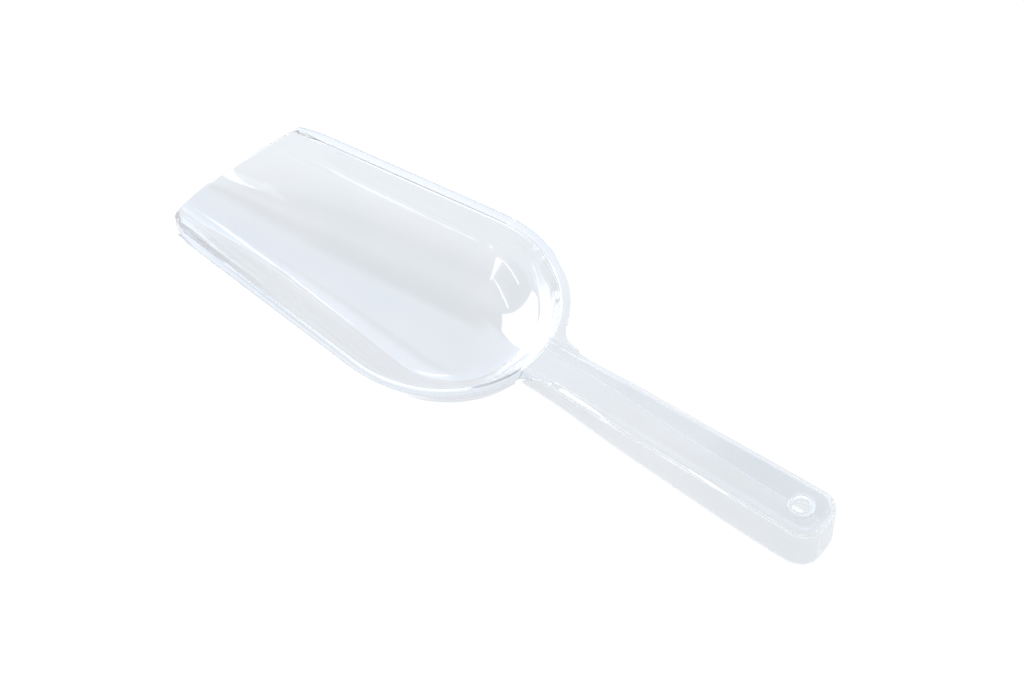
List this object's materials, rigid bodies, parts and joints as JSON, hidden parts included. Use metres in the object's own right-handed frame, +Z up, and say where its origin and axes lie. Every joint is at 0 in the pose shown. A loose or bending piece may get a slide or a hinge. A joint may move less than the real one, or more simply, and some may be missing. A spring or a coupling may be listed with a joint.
{
  "type": "ice scoop",
  "caption": "Clear plastic ice scoop: trough-shaped bowl with a slanted open mouth and flat rim flange, and a straight channel handle with a hanging hole.",
  "frame": {"origin": "middle of the flat underside of the bowl's floor, which the scoop stands on", "axes": "+X along the scoop from its mouth to the end of the handle, +Y to the side, +Z up out of the open bowl; the XZ plane is the plane of symmetry"},
  "size_m": [0.2362, 0.0748, 0.0231],
  "materials": {
    "clear_plastic": "clear transparent moulded plastic, glossy, with a faint blue-grey tint"
  },
  "bodies": {
    "root": {"bowl_shell": "clear_plastic", "rim_flange": "clear_plastic", "handle_top": "clear_plastic", "handle_skirt": "clear_plastic", "hang_hole_boss": "clear_plastic"}
  },
  "joints": []
}
